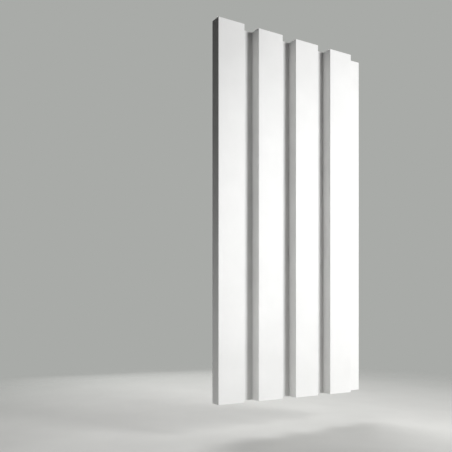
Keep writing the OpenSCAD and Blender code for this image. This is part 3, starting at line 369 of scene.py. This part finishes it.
def end_beads(bm):
    low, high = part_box("bottom_header")
    for x in (low.x, high.x):
        sweep(bm, ring_at(x, HEADER_R - BEAD), bead_size(BEAD * 0.8, 30))


piece("boss_weld_beads", boss_beads, COAT, "radiator")
piece("end_weld_beads", end_beads, COAT, "radiator")


# ---------- thermostatic head: scale and pointer ----------

grip_low, grip_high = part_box("head_grip")
GRIP = (grip_low + grip_high) / 2
GRIP_R = (grip_high.x - grip_low.x) / 2
MARKS = [math.radians(turn) for turn in range(-150, 151, 60)]     # the head's whole turn, 0 to 5
DIGIT_H = 5.2 * MM
CAPITAL = 0.72                      # height of a numeral as a share of its font's size
BAND_Z = grip_high.z - 5.6 * MM     # middle of the numerals, on the plain band above the scallops
INK_T = 0.12 * MM


def wrapped(bm, shape, turn):
    """Lays a flat mesh, drawn about its own origin, on the grip's band at an angle from the wall side."""
    copies = {}
    for v in shape.vertices:
        a = turn + v.co.x / GRIP_R
        r = GRIP_R + INK_T * (1 if v.co.z > 0 else -1)
        copies[v.index] = bm.verts.new((GRIP.x - r * math.sin(a), GRIP.y + r * math.cos(a), BAND_Z + v.co.y))
    for face in shape.polygons:
        bm.faces.new([copies[i] for i in face.vertices])


def digit(text):
    """A flat, slightly thick numeral, centred on its own origin."""
    curve = bpy.data.curves.new("numeral", "FONT")
    curve.body = text
    curve.size = DIGIT_H / CAPITAL
    curve.align_x = "CENTER"
    curve.align_y = "CENTER"
    curve.extrude = INK_T
    curve.resolution_u = 5
    holder = bpy.data.objects.new("numeral", curve)
    bpy.context.scene.collection.objects.link(holder)
    bpy.context.view_layer.update()
    mesh = bpy.data.meshes.new_from_object(holder.evaluated_get(bpy.context.evaluated_depsgraph_get()))
    bpy.data.objects.remove(holder)
    bpy.data.curves.remove(curve)
    return mesh


def scale_numbers(bm):
    for i, turn in enumerate(MARKS):
        wrapped(bm, digit(str(i)), turn)


def raised_bar(bm, axis, turn, r, half_w, z_low, z_high, proud):
    """A little bar with a crowned top and narrowed ends, standing proud of a round of radius r."""
    steps = 6
    narrow = 0.55
    rows = []
    for z, shrink in ((z_low, narrow), (z_low + half_w, 1), (z_high - half_w, 1), (z_high, narrow)):
        row = []
        for k in range(steps + 1):
            u = 2 * k / steps - 1
            a = turn + u * half_w * shrink / r
            out = r - SUNK + (proud + SUNK) * math.sqrt(max(1 - u ** 4, 0)) * shrink
            row.append(bm.verts.new((axis.x - out * math.sin(a), axis.y + out * math.cos(a), z)))
        rows.append(row)
    for a, b in zip(rows, rows[1:]):
        for k in range(steps):
            bm.faces.new((a[k], a[k + 1], b[k + 1], b[k]))
        bm.faces.new((a[steps], a[0], b[0], b[steps]))
    bm.faces.new(rows[0])
    bm.faces.new(rows[-1])


def scale_marks(bm):
    for turn in MARKS:
        raised_bar(bm, GRIP, turn, GRIP_R, half_w=0.45 * MM, z_low=grip_high.z - 2 * MM,
                   z_high=grip_high.z - 0.5 * MM, proud=0.15 * MM)


piece("scale_numbers", scale_numbers, INK, "grip")
piece("scale_marks", scale_marks, INK, "grip")

base_low, base_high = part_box("head_base")
BASE_R = (base_high.x - base_low.x) / 2
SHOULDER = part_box("head_collar")[0].z     # the base's rim shows between the collar and the grip


def pointer(bm):
    raised_bar(bm, GRIP, 0, BASE_R, half_w=0.8 * MM, z_low=grip_high.z + 0.3 * MM,
               z_high=SHOULDER - 0.8 * MM, proud=0.5 * MM)


piece("scale_pointer", pointer, INK, "radiator")


# ---------- the valve's return spring ----------

SPRING_WIRE_R = 0.45 * MM
SPRING_TURNS = 5
spring_low, spring_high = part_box("valve_spring")
SPRING_AXIS = (spring_low + spring_high) / 2
SPRING_R = (spring_high.x - spring_low.x) / 2 - SPRING_WIRE_R


def spring_line(t):
    """The middle of the wire, from the insert's ceiling at t = 0 down to the spindle's flange at t = 1."""
    turn = 2 * math.pi * SPRING_TURNS * t
    top = spring_high.z - SPRING_WIRE_R
    bottom = spring_low.z + SPRING_WIRE_R
    return Vector((SPRING_AXIS.x + SPRING_R * math.cos(turn), SPRING_AXIS.y + SPRING_R * math.sin(turn),
                   top + (bottom - top) * t))


def spring_wire(bm):
    sweep(bm, spring_line, lambda t: SPRING_WIRE_R, steps=48 * SPRING_TURNS, closed=False)


# On the valve the spring closes up and opens with the spindle: its top stays with the valve, its foot goes
# with the flange. This piece rides on no body.
spring = piece("valve_spring_wire", spring_wire, FINISHES["stainless_steel"], None)
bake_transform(spring)
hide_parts("valve_spring")


# ---------- floor, light and camera ----------

FLOOR_DROP = 0.16       # the panel hangs this far above the floor
FLOOR_R = 12
FLOOR_FADE = (0.9, 3.2)         # it thins out between these distances from the panel
FLOOR_GLOW = 0.1                # stands in for the light that a pale room throws on it
BACKGROUND = "#A9ABA8"
ROOM_LIGHT = 0.008

LENS = 47.65
VIEW_SHIFT = 0.179
VIEW_TURN = -31.13              # degrees, from straight at the wall towards its right
EYE = (-1.401, -2.388, 0.455)   # from the low front corner of the left profile


def studio_floor():
    """Pale, matte, faintly clouded floor that thins out into the background."""
    material, tree, shader, place = finish("floor_pale_matte", IOR=1.45, Roughness=0.8,
                                           Emission_Strength=FLOOR_GLOW)
    cloud = grain(tree, place, 0.5, detail=3.0)
    paint = tints(tree, cloud, (0.3, "#D2D2CF"), (0.7, "#D9D9D6"))
    tree.links.new(paint, shader.inputs["Base Color"])
    tree.links.new(paint, shader.inputs["Emission Color"])
    reach = add(tree, "ShaderNodeVectorMath", props={"operation": "LENGTH"}, links={0: place})
    tree.links.new(spread(tree, reach.outputs["Value"], 1, 0, *FLOOR_FADE), shader.inputs["Alpha"])
    bm = bmesh.new()
    bmesh.ops.create_circle(bm, cap_ends=True, segments=96, radius=FLOOR_R)
    mesh = bpy.data.meshes.new("floor")
    bm.to_mesh(mesh)
    bm.free()
    mesh.materials.append(material)
    floor = bpy.data.objects.new("floor", mesh)
    floor.location = (0, 0, cad_low.z - FLOOR_DROP)
    bpy.context.scene.collection.objects.link(floor)


def softbox(name, at, towards, size, power):
    """A white rectangular light, its size in metres and its power in watts."""
    lamp = bpy.data.lights.new(name, "AREA")
    lamp.shape = "RECTANGLE"
    lamp.size, lamp.size_y = size
    lamp.energy = power
    holder = bpy.data.objects.new(name, lamp)
    holder.location = at
    holder.rotation_euler = (Vector(towards) - Vector(at)).to_track_quat("-Z", "Y").to_euler()
    bpy.context.scene.collection.objects.link(holder)


def studio_light():
    """One large light from the front right, a weak one low on the left, and two on the wall side."""
    softbox("key", (1.75, -3.0, 0.4), (0.2, 0, 0.1), (1.3, 2.6), 138)
    softbox("floor_bounce", (-1.3, -0.6, -1.08), (-0.5, 0, -0.4), (1.0, 0.8), 6)
    softbox("back", (0.8, 2.3, 2.5), (0, 0, -0.2), (2.8, 2.2), 110)
    softbox("back_low", (0.5, 2.7, -0.3), (0, 0, -0.4), (2.4, 1.2), 14)
    world = bpy.data.worlds.new("studio")
    world.use_nodes = True
    tree = world.node_tree
    tree.nodes.clear()
    seen = add(tree, "ShaderNodeBackground", values={"Color": linear(BACKGROUND), "Strength": 1})
    fill = add(tree, "ShaderNodeBackground", values={"Color": linear("#FFFFFF"), "Strength": ROOM_LIGHT})
    ray = add(tree, "ShaderNodeLightPath")
    mixed = add(tree, "ShaderNodeMixShader",
                links={0: ray.outputs["Is Camera Ray"], 1: fill.outputs[0], 2: seen.outputs[0]})
    add(tree, "ShaderNodeOutputWorld", links={"Surface": mixed.outputs[0]})
    bpy.context.scene.world = world
    bpy.context.scene.view_settings.view_transform = "Standard"


def camera():
    """Level, from the left and low, with the view shifted up so that the boxes stay upright."""
    data = bpy.data.cameras.new("camera")
    data.lens = LENS
    data.shift_y = VIEW_SHIFT
    holder = bpy.data.objects.new("camera", data)
    panel_low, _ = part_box("profile_1")
    holder.location = panel_low + Vector(EYE)
    holder.rotation_euler = (math.radians(90), 0, math.radians(VIEW_TURN))
    bpy.context.scene.collection.objects.link(holder)
    bpy.context.scene.camera = holder


studio_floor()
studio_light()
camera()

bpy.context.view_layer.update()
